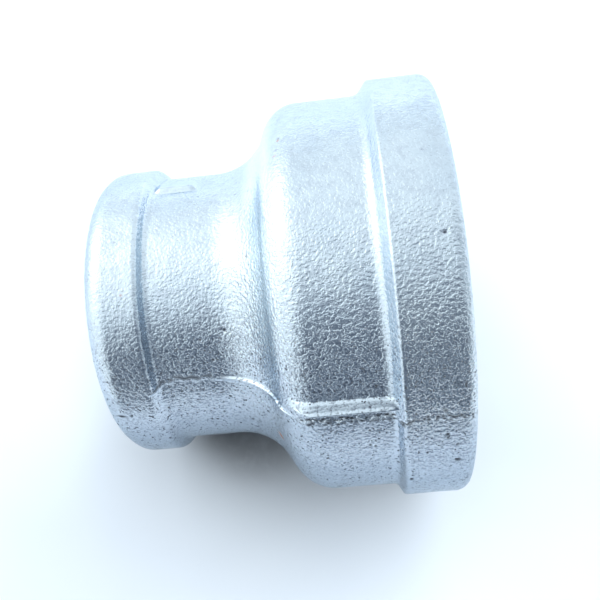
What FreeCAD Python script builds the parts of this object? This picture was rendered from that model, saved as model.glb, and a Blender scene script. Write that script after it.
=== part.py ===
import FreeCAD, Part
import math
import os

import Sketcher

# Concentric reducing socket, 3 inch to 2 inch, malleable iron with a zinc coat. Millimetres.
# X is the pipe axis, small end at -X, large end at +X, origin on the axis at mid-length, Z up.
# The two moulding halves meet in a plane through the axis; local angle 0 about X is that plane,
# and PARTING_DEG turns it to where it lies in the part's frame.

V = FreeCAD.Vector
PARTING_DEG = 132.0

doc = FreeCAD.newDocument("reducing_socket")

CELLS = [
    ("half_length", 40.0),
    # outside; the two moulding halves share everything but the shoulder and the body radius
    ("large_band_radius", 51.6),
    ("large_band_width", 14.6),
    ("large_rim_radius", 3.0),
    ("band_edge_radius", 1.0),
    ("large_foot_fillet", 1.7),
    ("upper_body_radius", 48.2),
    ("lower_body_radius", 48.8),
    ("neck_radius", 33.5),
    ("small_band_radius", 36.1),
    ("small_band_width", 12.6),
    ("small_rim_radius", 5.5),
    ("small_edge_radius", 1.3),
    ("small_foot_fillet", 1.2),
    ("facing_cut", 0.6),
    ("upper_neck_end", 27.4),
    ("upper_hollow_radius", 14.2),
    ("upper_shoulder_angle", 69.0),
    ("upper_shoulder_radius", 8.6),
    ("lower_neck_end", 26.6),
    ("lower_hollow_radius", 14.8),
    ("lower_shoulder_angle", 59.0),
    ("lower_shoulder_radius", 10.1),
    # grip ribs
    ("body_rib_radius", 50.0),
    ("body_rib_start", 44.0),
    ("body_rib_nose", 2.5),
    ("body_rib_width", 2.8),
    ("neck_rib_radius", 34.9),
    ("neck_rib_end", 21.5),
    ("neck_rib_run_out", 7.5),
    ("neck_rib_width", 4.4),
    ("rib_edge_radius", 0.6),
    ("rib_foot_fillet", 0.7),
    # coat
    ("zinc_thickness", 0.1),
    # passage
    ("small_minor_radius", 28.45),
    ("small_major_radius", 29.807),
    ("small_thread_end", 24.0),
    ("small_cavity_radius", 30.1),
    ("large_minor_radius", 42.6),
    ("large_major_radius", 43.942),
    ("large_thread_end", 51.0),
    ("large_cavity_radius", 44.3),
    ("mouth_margin", 0.6),
    ("inner_neck_end", 28.5),
    ("inner_hollow_radius", 17.5),
    ("inner_shoulder_angle", 65.0),
    ("inner_shoulder_radius", 4.5),
    ("thread_pitch", 2.309),
    ("thread_flank_angle", 27.5),
    ("thread_root_flat", 0.385),
]

sheet = doc.addObject("Spreadsheet::Sheet", "params")
for i, (name, value) in enumerate(CELLS):
    row = i + 1
    sheet.set("A%d" % row, name)
    sheet.set("B%d" % row, repr(value))
    sheet.setAlias("B%d" % row, name)
doc.recompute()
P = {name: value for name, value in CELLS}


def value_of(expr):
    """Number of an expression written with cell names, from the sheet's own cells."""
    total = 0.0
    for sign, term in expr:
        total += sign * (P[term] if isinstance(term, str) else term)
    return total


def text_of(expr):
    out = ""
    for sign, term in expr:
        body = "params." + term if isinstance(term, str) else repr(term)
        if out:
            out += " + " if sign > 0 else " - "
        elif sign < 0:
            out += "-"
        out += body
    return out


def plane_of(body, role):
    for feature in body.Origin.OriginFeatures:
        if feature.Role == role:
            return feature
    raise ValueError(role)


class Outline:
    """A closed chain of lines and arcs in one sketch; every size is bound to the sheet."""

    def __init__(self, body, name, turn=0.0, role="XY_Plane"):
        self.sketch = body.newObject("Sketcher::SketchObject", name)
        self.sketch.AttachmentSupport = [(plane_of(body, role), "")]
        self.sketch.MapMode = "FlatFace"
        if turn:
            self.sketch.AttachmentOffset = FreeCAD.Placement(
                V(0, 0, 0), FreeCAD.Rotation(V(1, 0, 0), turn)
            )

    def line(self, a, b):
        return self.sketch.addGeometry(Part.LineSegment(V(a[0], a[1], 0), V(b[0], b[1], 0)), False)

    def arc(self, centre, radius, start, end):
        """Counter-clockwise arc from angle start to angle end, degrees."""
        circle = Part.Circle(V(centre[0], centre[1], 0), V(0, 0, 1), radius)
        return self.sketch.addGeometry(
            Part.ArcOfCircle(circle, math.radians(start), math.radians(end)), False
        )

    def rule(self, *args):
        return self.sketch.addConstraint(Sketcher.Constraint(*args))

    def size(self, kind, refs, expr):
        """A dimension whose number comes from the sheet."""
        if kind == "Angle":
            index = self.rule(kind, *refs, math.radians(value_of(expr)))
            self.sketch.setExpression("Constraints[%d]" % index, "(" + text_of(expr) + ") * 1 deg")
        else:
            index = self.rule(kind, *refs, value_of(expr))
            self.sketch.setExpression("Constraints[%d]" % index, text_of(expr))
        return index

    def x_of(self, geo, pos, expr):
        self.signed("DistanceX", geo, pos, expr)

    def y_of(self, geo, pos, expr):
        self.signed("DistanceY", geo, pos, expr)

    def signed(self, kind, geo, pos, expr):
        """Distance from the sketch origin, kept positive by the order of the two points."""
        if value_of(expr) >= 0:
            self.size(kind, (-1, 1, geo, pos), expr)
        else:
            self.size(kind, (geo, pos, -1, 1), [(-s, x) for s, x in expr])


def outer_half(body, half, coat):
    """Half outline of the outside on the parting plane; coat is the depth taken off every outside face."""
    z = [(-1, "zinc_thickness")] if coat else []
    zp = [(1, "zinc_thickness")] if coat else []
    d = P["zinc_thickness"] if coat else 0.0
    o = Outline(body, body.Name + "_" + half + "_outline")
    hl = P["half_length"]
    rl, rs = P["large_band_radius"] - d, P["small_band_radius"] - d
    body_r, neck_r = P[half + "_body_radius"] - d, P["neck_radius"] - d
    cl, cs = P["large_rim_radius"] - d, P["small_rim_radius"] - d
    e, f = P["band_edge_radius"] - d, P["large_foot_fillet"] + d
    es, fs = P["small_edge_radius"] - d, P["small_foot_fillet"] + d
    cut = P["facing_cut"]
    xl = hl - P["large_band_width"] + d
    xs = -hl + P["small_band_width"] - d
    ra = P[half + "_hollow_radius"] + d
    rb = P[half + "_shoulder_radius"] - d
    wall = P[half + "_shoulder_angle"]
    w = math.radians(wall)
    xn = -hl + P[half + "_neck_end"]
    # rim arcs are met by the faced end before they turn square to it
    ccl = (hl - P["large_rim_radius"] + cut, rl - cl)
    ccs = (-hl + P["small_rim_radius"] - cut, rs - cs)
    al = math.degrees(math.acos((hl - ccl[0]) / cl))
    as_ = math.degrees(math.acos((-hl - ccs[0]) / cs))
    yl = ccl[1] + cl * math.sin(math.radians(al))
    ys = ccs[1] + cs * math.sin(math.radians(as_))
    p1 = (xn + ra * math.sin(w), neck_r + ra * (1 - math.cos(w)))
    yb = body_r - rb * (1 - math.cos(w))
    p2 = (p1[0] + (yb - p1[1]) / math.tan(w), yb)
    x3 = p2[0] + rb * math.sin(w)

    axis = o.line((-hl, 0), (hl, 0))
    face_l = o.line((hl, 0), (hl, yl))
    rim_l = o.arc(ccl, cl, al, 90)
    top_l = o.line((ccl[0], rl), (xl + e, rl))
    edge_l = o.arc((xl + e, rl - e), e, 90, 180)
    step_l = o.line((xl, rl - e), (xl, body_r + f))
    foot_l = o.arc((xl - f, body_r + f), f, 270, 360)
    side = o.line((xl - f, body_r), (x3, body_r))
    shoulder = o.arc((x3, body_r - rb), rb, 90, 90 + wall)
    slope = o.line(p1, p2)
    hollow = o.arc((xn, neck_r + ra), ra, 270, 270 + wall)
    neck = o.line((xn, neck_r), (xs + fs, neck_r))
    foot_s = o.arc((xs + fs, neck_r + fs), fs, 180, 270)
    step_s = o.line((xs, neck_r + fs), (xs, rs - es))
    edge_s = o.arc((xs - es, rs - es), es, 0, 90)
    top_s = o.line((xs - es, rs), (ccs[0], rs))
    rim_s = o.arc(ccs, cs, 90, as_)
    face_s = o.line((-hl, ys), (-hl, 0))

    r = o.rule
    r("Coincident", axis, 2, face_l, 1)
    r("Coincident", axis, 1, face_s, 2)
    r("PointOnObject", axis, 1, -1)
    r("PointOnObject", axis, 2, -1)
    r("Vertical", face_l)
    r("Vertical", face_s)
    r("Vertical", step_l)
    r("Vertical", step_s)
    for g in (top_l, side, neck, top_s):
        r("Horizontal", g)
    r("Coincident", face_l, 2, rim_l, 1)
    r("Coincident", face_s, 1, rim_s, 2)
    r("Tangent", rim_l, 2, top_l, 1)
    r("Tangent", top_l, 2, edge_l, 1)
    r("Tangent", edge_l, 2, step_l, 1)
    r("Tangent", step_l, 2, foot_l, 2)
    r("Tangent", foot_l, 1, side, 1)
    r("Tangent", side, 2, shoulder, 1)
    r("Tangent", shoulder, 2, slope, 2)
    r("Tangent", slope, 1, hollow, 2)
    r("Tangent", hollow, 1, neck, 1)
    r("Tangent", neck, 2, foot_s, 2)
    r("Tangent", foot_s, 1, step_s, 1)
    r("Tangent", step_s, 2, edge_s, 1)
    r("Tangent", edge_s, 2, top_s, 1)
    r("Tangent", top_s, 2, rim_s, 1)
    o.size("Radius", (rim_l,), [(1, "large_rim_radius")] + z)
    o.size("Radius", (edge_l,), [(1, "band_edge_radius")] + z)
    o.size("Radius", (foot_l,), [(1, "large_foot_fillet")] + zp)
    o.size("Radius", (shoulder,), [(1, half + "_shoulder_radius")] + z)
    o.size("Radius", (hollow,), [(1, half + "_hollow_radius")] + zp)
    o.size("Radius", (foot_s,), [(1, "small_foot_fillet")] + zp)
    o.size("Radius", (edge_s,), [(1, "small_edge_radius")] + z)
    o.size("Radius", (rim_s,), [(1, "small_rim_radius")] + z)
    o.x_of(face_l, 1, [(1, "half_length")])
    o.x_of(face_s, 2, [(-1, "half_length")])
    o.x_of(rim_l, 3, [(1, "half_length"), (-1, "large_rim_radius"), (1, "facing_cut")])
    o.x_of(rim_s, 3, [(-1, "half_length"), (1, "small_rim_radius"), (-1, "facing_cut")])
    o.x_of(step_l, 1, [(1, "half_length"), (-1, "large_band_width")] + zp)
    o.x_of(step_s, 1, [(-1, "half_length"), (1, "small_band_width")] + z)
    o.x_of(hollow, 1, [(-1, "half_length"), (1, half + "_neck_end")])
    o.y_of(top_l, 1, [(1, "large_band_radius")] + z)
    o.y_of(side, 1, [(1, half + "_body_radius")] + z)
    o.y_of(neck, 1, [(1, "neck_radius")] + z)
    o.y_of(top_s, 1, [(1, "small_band_radius")] + z)
    o.size("Angle", (slope,), [(1, half + "_shoulder_angle")])
    return o.sketch


def revolve(body, sketch, name, angle, reversed_=False):
    rev = body.newObject("PartDesign::Revolution", name)
    rev.Profile = sketch
    rev.ReferenceAxis = (sketch, ["H_Axis"])
    rev.Angle = angle
    rev.Reversed = reversed_
    sketch.Visibility = False
    doc.recompute()
    return rev


def rib(body, name, turn, kind, coat):
    """A grip rib as a plate standing on the axis plane turned to its place, its side outline drawn to a depth inside the wall."""
    z = [(-1, "zinc_thickness")] if coat else []
    zp = [(1, "zinc_thickness")] if coat else []
    d = P["zinc_thickness"] if coat else 0.0
    hl = P["half_length"]
    o = Outline(body, body.Name + "_" + name + "_outline", turn)
    if kind == "body":
        top = P["body_rib_radius"] - d
        x0 = -hl + P["body_rib_start"] + d
        x1 = hl - P["large_band_width"] + 1.2
        low = P["upper_body_radius"] - 3.0
        n = P["body_rib_nose"] - d
        floor = o.line((x0, low), (x1, low))
        back = o.line((x1, low), (x1, top))
        crest = o.line((x1, top), (x0 + n, top))
        nose = o.arc((x0 + n, top - n), n, 90, 180)
        front = o.line((x0, top - n), (x0, low))
        o.rule("Horizontal", floor)
        o.rule("Vertical", back)
        o.rule("Horizontal", crest)
        o.rule("Vertical", front)
        o.rule("Coincident", floor, 2, back, 1)
        o.rule("Coincident", back, 2, crest, 1)
        o.rule("Tangent", crest, 2, nose, 1)
        o.rule("Tangent", nose, 2, front, 1)
        o.rule("Coincident", front, 2, floor, 1)
        o.size("Radius", (nose,), [(1, "body_rib_nose")] + z)
        o.y_of(crest, 1, [(1, "body_rib_radius")] + z)
        o.y_of(floor, 1, [(1, "upper_body_radius"), (-1, 3.0)])
        o.x_of(front, 2, [(-1, "half_length"), (1, "body_rib_start")] + zp)
        o.x_of(back, 1, [(1, "half_length"), (-1, "large_band_width"), (1, 1.2)])
        width = [(1, "body_rib_width")]
    else:
        top = P["neck_rib_radius"] - d
        x0 = -hl + P["small_band_width"] - 1.2
        x1 = -hl + P["neck_rib_end"] - d
        x2 = x1 + P["neck_rib_run_out"]
        low = P["neck_radius"] - 2.0
        floor = o.line((x0, low), (x2, low))
        ramp = o.line((x2, low), (x1, top))
        crest = o.line((x1, top), (x0, top))
        back = o.line((x0, top), (x0, low))
        o.rule("Horizontal", floor)
        o.rule("Horizontal", crest)
        o.rule("Vertical", back)
        o.rule("Coincident", floor, 2, ramp, 1)
        o.rule("Coincident", ramp, 2, crest, 1)
        o.rule("Coincident", crest, 2, back, 1)
        o.rule("Coincident", back, 2, floor, 1)
        o.y_of(crest, 1, [(1, "neck_rib_radius")] + z)
        o.y_of(floor, 1, [(1, "neck_radius"), (-1, 2.0)])
        o.x_of(crest, 1, [(-1, "half_length"), (1, "neck_rib_end")] + z)
        o.x_of(ramp, 1, [(-1, "half_length"), (1, "neck_rib_end"), (1, "neck_rib_run_out")] + z)
        o.x_of(back, 1, [(-1, "half_length"), (1, "small_band_width"), (-1, 1.2)])
        width = [(1, "neck_rib_width")]
    pad = body.newObject("PartDesign::Pad", name)
    pad.Profile = o.sketch
    pad.Length = value_of(width) - 2 * d
    pad.setExpression("Length", text_of(width) + (" - 2 * params.zinc_thickness" if coat else ""))
    pad.Midplane = True
    o.sketch.Visibility = False
    doc.recompute()
    return pad


def rib_edges(shape, turn, kind, coat, where):
    """The long edges of one rib: its two crest edges, or the two straight edges where it stands on the wall."""
    d = P["zinc_thickness"] if coat else 0.0
    half = P[kind + "_rib_width"] / 2 - d
    top = P[kind + "_rib_radius"] - d
    turned = FreeCAD.Rotation(V(1, 0, 0), turn)
    across, up = turned.multVec(V(0, 0, 1)), turned.multVec(V(0, 1, 0))
    found = []
    for i, edge in enumerate(shape.Edges):
        a, b = edge.FirstParameter, edge.LastParameter
        points = [edge.valueAt(a + (b - a) * k / 4.0) for k in range(5)]
        sides = [p.dot(across) for p in points]
        heights = [p.dot(up) for p in points]
        if min(heights) < 10 or any(abs(abs(v) - half) > 1e-4 for v in sides) or sides[0] * sides[-1] < 0:
            continue
        flat = abs(heights[0] - heights[-1]) < 1e-3
        if where == "crest" and all(abs(v - top) < 1e-4 for v in heights):
            found.append("Edge%d" % (i + 1))
        elif where == "foot" and flat and edge.Curve.TypeId == "Part::GeomLine" and heights[0] < top - 1.0:
            found.append("Edge%d" % (i + 1))
    if len(found) != 2:
        raise RuntimeError("rib at %s has %d %s edges" % (turn, len(found), where))
    return found


def round_ribs(body, ribs, where, name, coat):
    before = body.Group[-1]
    shape = before.Shape
    edges = []
    for turn, kind in ribs:
        edges += rib_edges(shape, turn, kind, coat, where)
    fillet = body.newObject("PartDesign::Fillet", name)
    fillet.Base = (before, edges)
    if where == "crest":
        fillet.setExpression("Radius", "params.rib_edge_radius" + (" - params.zinc_thickness" if coat else ""))
    else:
        fillet.setExpression("Radius", "params.rib_foot_fillet" + (" + params.zinc_thickness" if coat else ""))
    doc.recompute()
    return fillet


def outside(name, coat):
    """The outside as a solid blank: two half revolutions meeting in the parting plane, and four grip ribs."""
    body = doc.addObject("PartDesign::Body", name)
    lower = outer_half(body, "lower", coat)
    upper = outer_half(body, "upper", coat)
    doc.recompute()
    revolve(body, lower, name + "_lower_half", 180.0)
    revolve(body, upper, name + "_upper_half", 180.0, True)
    ribs = ((-2.7, "body"), (177.3, "body"), (-88.0, "neck"), (92.0, "neck"))
    for n, (turn, kind) in enumerate(ribs):
        rib(body, "%s_%s_rib_%d" % (name, kind, n % 2 + 1), turn, kind, coat)
    round_ribs(body, ribs, "crest", name + "_rib_crests", coat)
    round_ribs(body, ribs, "foot", name + "_rib_feet", coat)
    body.Placement = FreeCAD.Placement(V(0, 0, 0), FreeCAD.Rotation(V(1, 0, 0), PARTING_DEG))
    body.Tip = body.Group[-1]
    doc.recompute()
    return body


outer_form = outside("outer_form", False)
iron_blank = outside("iron_blank", True)

coat_outer = doc.addObject("Part::Cut", "zinc_coat_outer")
coat_outer.Base = outer_form
coat_outer.Tool = iron_blank
coat_outer.Label = "zinc_coat_outer"
doc.recompute()

# the passage: chamfered mouth, threaded bore, cast neck, cast shoulder, threaded bore, chamfered mouth
passage = doc.addObject("PartDesign::Body", "passage")
o = Outline(passage, "passage_outline")
hl = P["half_length"]
out = 1.0
ms, mj = P["small_minor_radius"], P["small_major_radius"] + P["mouth_margin"]
ml, mk = P["large_minor_radius"], P["large_major_radius"] + P["mouth_margin"]
cs_, cl_ = P["small_cavity_radius"], P["large_cavity_radius"]
xs1 = -hl + P["small_thread_end"]
xl1 = -hl + P["large_thread_end"]
w = math.radians(P["inner_shoulder_angle"])
ri, rj = P["inner_hollow_radius"], P["inner_shoulder_radius"]
xi = -hl + P["inner_neck_end"]
q1 = (xi + ri * math.sin(w), cs_ + ri * (1 - math.cos(w)))
yj = cl_ - rj * (1 - math.cos(w))
q2 = (q1[0] + (yj - q1[1]) / math.tan(w), yj)
xj = q2[0] + rj * math.sin(w)
a0 = o.line((-hl - out, 0), (hl + out, 0))
e1 = o.line((hl + out, 0), (hl + out, mk + out))
c1 = o.line((hl + out, mk + out), (hl - (mk - ml), ml))
b1 = o.line((hl - (mk - ml), ml), (xl1, ml))
t1 = o.line((xl1, ml), (xl1 - 0.8, cl_))
k1 = o.line((xl1 - 0.8, cl_), (xj, cl_))
s1 = o.arc((xj, cl_ - rj), rj, 90, 90 + P["inner_shoulder_angle"])
w1 = o.line(q1, q2)
s2 = o.arc((xi, cs_ + ri), ri, 270, 270 + P["inner_shoulder_angle"])
k2 = o.line((xi, cs_), (xs1 + 1.6, cs_))
t2 = o.line((xs1 + 1.6, cs_), (xs1, ms))
b2 = o.line((xs1, ms), (-hl + (mj - ms), ms))
c2 = o.line((-hl + (mj - ms), ms), (-hl - out, mj + out))
e2 = o.line((-hl - out, mj + out), (-hl - out, 0))
r = o.rule
for g, k in ((a0, e1), (e1, c1), (c1, b1), (b1, t1), (t1, k1), (k2, t2), (t2, b2), (b2, c2), (c2, e2)):
    r("Coincident", g, 2, k, 1)
r("Coincident", e2, 2, a0, 1)
r("PointOnObject", a0, 1, -1)
r("PointOnObject", a0, 2, -1)
r("Tangent", k1, 2, s1, 1)
r("Tangent", s1, 2, w1, 2)
r("Tangent", w1, 1, s2, 2)
r("Tangent", s2, 1, k2, 1)
for g in (b1, k1, k2, b2):
    r("Horizontal", g)
r("Vertical", e1)
r("Vertical", e2)
o.x_of(e1, 1, [(1, "half_length"), (1, 1.0)])
o.x_of(e2, 2, [(-1, "half_length"), (-1, 1.0)])
o.y_of(e1, 2, [(1, "large_major_radius"), (1, "mouth_margin"), (1, 1.0)])
o.y_of(e2, 1, [(1, "small_major_radius"), (1, "mouth_margin"), (1, 1.0)])
o.y_of(b1, 1, [(1, "large_minor_radius")])
o.y_of(b2, 1, [(1, "small_minor_radius")])
o.x_of(c1, 2, [(1, "half_length"), (-1, "large_major_radius"), (-1, "mouth_margin"), (1, "large_minor_radius")])
o.x_of(c2, 1, [(-1, "half_length"), (1, "small_major_radius"), (1, "mouth_margin"), (-1, "small_minor_radius")])
o.x_of(t1, 1, [(-1, "half_length"), (1, "large_thread_end")])
o.x_of(t1, 2, [(-1, "half_length"), (1, "large_thread_end"), (-1, 0.8)])
o.x_of(t2, 2, [(-1, "half_length"), (1, "small_thread_end")])
o.x_of(t2, 1, [(-1, "half_length"), (1, "small_thread_end"), (1, 1.6)])
o.y_of(k1, 1, [(1, "large_cavity_radius")])
o.y_of(k2, 1, [(1, "small_cavity_radius")])
o.size("Radius", (s1,), [(1, "inner_shoulder_radius")])
o.size("Radius", (s2,), [(1, "inner_hollow_radius")])
o.x_of(s2, 1, [(-1, "half_length"), (1, "inner_neck_end")])
o.size("Angle", (w1,), [(1, "inner_shoulder_angle")])
passage_sketch = o.sketch
revolve(passage, passage_sketch, "passage_bore", 360.0)


def thread_tool(name, minor, major, x_start, x_end):
    """A right-hand helical ridge with the section of the thread groove, wider than the bore wall it cuts."""
    tool = doc.addObject("PartDesign::Body", name)
    t = Outline(tool, name + "_section")
    tan = math.tan(math.radians(P["thread_flank_angle"]))
    half_root = P["thread_root_flat"] / 2
    inside = 0.35
    half_open = half_root + (major - minor + inside) * tan
    x = x_start
    y0, y1 = minor - inside, major
    base = t.line((x - half_open, y0), (x + half_open, y0))
    right = t.line((x + half_open, y0), (x + half_root, y1))
    root = t.line((x + half_root, y1), (x - half_root, y1))
    left = t.line((x - half_root, y1), (x - half_open, y0))
    for g, k in ((base, right), (right, root), (root, left), (left, base)):
        t.rule("Coincident", g, 2, k, 1)
    t.rule("Horizontal", base)
    t.rule("Horizontal", root)
    which = "small" if x_start < 0 else "large"
    t.size("DistanceX", (root, 2, root, 1), [(1, "thread_root_flat")])
    t.y_of(root, 1, [(1, which + "_major_radius")])
    t.y_of(base, 1, [(1, which + "_minor_radius"), (-1, inside)])
    t.size("Angle", (left,), [(-1, 90.0), (-1, "thread_flank_angle")])
    t.size("Angle", (right,), [(1, 90.0), (1, "thread_flank_angle")])
    t.signed("DistanceX", root, 2, [(1 if x - half_root >= 0 else -1, abs(x - half_root))])
    helix = tool.newObject("PartDesign::AdditiveHelix", name + "_helix")
    helix.Profile = t.sketch
    helix.ReferenceAxis = (t.sketch, ["H_Axis"])
    helix.Mode = "pitch-height-angle"
    helix.Pitch = P["thread_pitch"]
    helix.setExpression("Pitch", "params.thread_pitch")
    helix.Height = x_end - x_start
    helix.Angle = 0
    helix.Growth = 0
    helix.LeftHanded = False
    t.sketch.Visibility = False
    doc.recompute()
    tool.Tip = helix
    doc.recompute()
    return tool


small_thread = thread_tool(
    "small_thread_groove", P["small_minor_radius"], P["small_major_radius"], -hl - 2.4, -hl + P["small_thread_end"] + 2.0
)
large_thread = thread_tool(
    "large_thread_groove", P["large_minor_radius"], P["large_major_radius"], -hl + P["large_thread_end"] - 1.4, hl + 2.4
)

bored = doc.addObject("Part::Cut", "bored_casting")
bored.Base = iron_blank
bored.Tool = passage
doc.recompute()
half_threaded = doc.addObject("Part::Cut", "small_end_threaded")
half_threaded.Base = bored
half_threaded.Tool = small_thread
doc.recompute()
casting = doc.addObject("Part::Cut", "iron_casting")
casting.Base = half_threaded
casting.Tool = large_thread
casting.Label = "iron_casting"
doc.recompute()

# zinc left on the cast part of the passage between the two threads
coat_inner = doc.addObject("PartDesign::Body", "zinc_coat_waterway")
coat_inner.Label = "zinc_coat_waterway"
o = Outline(coat_inner, "waterway_coat_outline")
zt = P["zinc_thickness"]
x_a, x_b = xs1 + 1.6, xl1 - 0.8
wd = P["inner_shoulder_angle"]
in_q1 = (xi + (ri + zt) * math.sin(w), cs_ + ri - (ri + zt) * math.cos(w))
in_q2 = (xj - (rj - zt) * math.sin(w), cl_ - rj + (rj - zt) * math.cos(w))
n1 = o.line((x_a, cs_), (xi, cs_))
n2 = o.arc((xi, cs_ + ri), ri, 270, 270 + wd)
n3 = o.line(q1, q2)
n4 = o.arc((xj, cl_ - rj), rj, 90, 90 + wd)
n5 = o.line((xj, cl_), (x_b, cl_))
n6 = o.line((x_b, cl_), (x_b, cl_ - zt))
n7 = o.line((x_b, cl_ - zt), (xj, cl_ - zt))
n8 = o.arc((xj, cl_ - rj), rj - zt, 90, 90 + wd)
n9 = o.line(in_q1, in_q2)
n10 = o.arc((xi, cs_ + ri), ri + zt, 270, 270 + wd)
n11 = o.line((xi, cs_ - zt), (x_a, cs_ - zt))
n12 = o.line((x_a, cs_ - zt), (x_a, cs_))
r = o.rule
r("Tangent", n1, 2, n2, 1)
r("Tangent", n2, 2, n3, 1)
r("Tangent", n3, 2, n4, 2)
r("Tangent", n4, 1, n5, 1)
r("Coincident", n5, 2, n6, 1)
r("Coincident", n6, 2, n7, 1)
r("Tangent", n7, 2, n8, 1)
r("Tangent", n8, 2, n9, 2)
r("Tangent", n9, 1, n10, 2)
r("Tangent", n10, 1, n11, 1)
r("Coincident", n11, 2, n12, 1)
r("Coincident", n12, 2, n1, 1)
for g in (n1, n5, n7, n11):
    r("Horizontal", g)
r("Vertical", n6)
r("Vertical", n12)
o.y_of(n1, 1, [(1, "small_cavity_radius")])
o.y_of(n5, 1, [(1, "large_cavity_radius")])
o.y_of(n11, 1, [(1, "small_cavity_radius"), (-1, "zinc_thickness")])
o.y_of(n7, 1, [(1, "large_cavity_radius"), (-1, "zinc_thickness")])
o.x_of(n1, 1, [(-1, "half_length"), (1, "small_thread_end"), (1, 1.6)])
o.x_of(n5, 2, [(-1, "half_length"), (1, "large_thread_end"), (-1, 0.8)])
o.x_of(n2, 1, [(-1, "half_length"), (1, "inner_neck_end")])
o.x_of(n10, 1, [(-1, "half_length"), (1, "inner_neck_end")])
o.size("Radius", (n2,), [(1, "inner_hollow_radius")])
o.size("Radius", (n10,), [(1, "inner_hollow_radius"), (1, "zinc_thickness")])
o.size("Radius", (n4,), [(1, "inner_shoulder_radius")])
o.size("Radius", (n8,), [(1, "inner_shoulder_radius"), (-1, "zinc_thickness")])
o.size("Angle", (n3,), [(1, "inner_shoulder_angle")])
o.size("Angle", (n9,), [(1, "inner_shoulder_angle")])
waterway = revolve(coat_inner, o.sketch, "waterway_coat", 360.0)
coat_inner.Tip = waterway
doc.recompute()

for obj in doc.Objects:
    if "Invalid" in obj.State or "Error" in obj.State:
        raise RuntimeError("%s is %s" % (obj.Name, obj.State))

os.makedirs("parts", exist_ok=True)
for obj in (casting, coat_outer, coat_inner):
    shape = obj.Shape
    if shape.isNull() or not shape.isValid() or len(shape.Solids) != 1:
        raise RuntimeError("%s: null %s valid %s solids %d" % (obj.Label, shape.isNull(), shape.isValid(), len(shape.Solids)))
    shape.exportStep("parts/%s.step" % obj.Label)
    box = shape.BoundBox
    print(obj.Label, "volume", round(shape.Volume, 2), "faces", len(shape.Faces),
          "box", [round(v, 3) for v in (box.XMin, box.YMin, box.ZMin, box.XMax, box.YMax, box.ZMax)])
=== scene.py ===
import math

import bmesh
import bpy
import numpy as np
from mathutils import Matrix, Vector

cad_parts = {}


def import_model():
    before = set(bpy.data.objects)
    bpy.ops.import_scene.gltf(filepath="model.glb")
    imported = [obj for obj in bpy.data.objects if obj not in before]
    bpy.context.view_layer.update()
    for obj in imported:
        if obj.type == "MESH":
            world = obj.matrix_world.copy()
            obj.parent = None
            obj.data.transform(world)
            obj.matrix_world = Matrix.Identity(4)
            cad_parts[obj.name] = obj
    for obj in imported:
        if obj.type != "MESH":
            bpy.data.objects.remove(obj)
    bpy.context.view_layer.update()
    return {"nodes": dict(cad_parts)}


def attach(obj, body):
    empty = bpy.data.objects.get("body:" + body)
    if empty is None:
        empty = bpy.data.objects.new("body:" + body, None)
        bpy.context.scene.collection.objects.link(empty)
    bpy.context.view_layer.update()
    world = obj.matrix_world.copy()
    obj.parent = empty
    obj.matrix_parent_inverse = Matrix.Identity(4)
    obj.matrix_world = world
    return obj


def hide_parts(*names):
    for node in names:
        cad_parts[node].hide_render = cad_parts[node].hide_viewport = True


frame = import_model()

scene = bpy.context.scene

# A hot-dip galvanised reducing socket. Lengths in this script are millimetres until a mesh is written in metres.
# x runs along the pipe axis, phi is the angle about it: 0 is +Y, 90 is +Z.

TAU = 2.0 * math.pi


def smooth(a, b, x):
    t = np.clip((x - a) / (b - a), 0.0, 1.0)
    return t * t * (3.0 - 2.0 * t)


def gradient_noise(p, seed):
    """Seeded gradient noise of points p (n, 3), about -1 to 1."""
    rng = np.random.RandomState(seed)
    perm = rng.permutation(256)
    perm = np.concatenate([perm, perm, perm])
    g = rng.normal(size=(256, 3))
    g /= np.linalg.norm(g, axis=1)[:, None]
    i = np.floor(p).astype(np.int64)
    f = p - i
    i &= 255
    u = f * f * f * (f * (f * 6.0 - 15.0) + 10.0)
    out = np.zeros(len(p))
    for dx in (0, 1):
        wx = u[:, 0] if dx else 1.0 - u[:, 0]
        hx = perm[i[:, 0] + dx]
        for dy in (0, 1):
            wy = u[:, 1] if dy else 1.0 - u[:, 1]
            hy = perm[hx + ((i[:, 1] + dy) & 255)]
            for dz in (0, 1):
                wz = u[:, 2] if dz else 1.0 - u[:, 2]
                h = perm[hy + ((i[:, 2] + dz) & 255)]
                d = (
                    g[h, 0] * (f[:, 0] - dx)
                    + g[h, 1] * (f[:, 1] - dy)
                    + g[h, 2] * (f[:, 2] - dz)
                )
                out += wx * wy * wz * d
    return out * 1.6


def octaves(p, size, seed, count=2, gain=0.5, ratio=2.03):
    total, amp, norm = 0.0, 1.0, 0.0
    for k in range(count):
        total = total + amp * gradient_noise(p / size + 37.7 * k, seed + k)
        norm += amp * amp
        amp *= gain
        size /= ratio
    return total / math.sqrt(norm)


# ---------------------------------------------------------------- outline of each moulding half

HL = 40.0
RL, RS = 51.6, 36.1
BAND = {
    "upper": dict(body=48.2, foot=(2.9, 2.3), foot_lean=60.0, crest=0.8, small=(1.3, 1.5), lean=62.0, start=1.3, ne=27.4, ra=14.2, w=69.0, rb=8.6),
    "lower": dict(body=48.8, foot=(1.5, 1.5), foot_lean=60.0, crest=1.1, small=(2.0, 2.0), lean=45.0, start=2.1, ne=26.6, ra=14.8, w=59.0, rb=10.1),
}
SINK = 0.13            # the coat's own bumps stay inside the size of the part


def arc(cx, cr, ax, ar, a0, a1):
    return ("arc", cx, cr, ax, ar, math.radians(a0), math.radians(a1))


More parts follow.
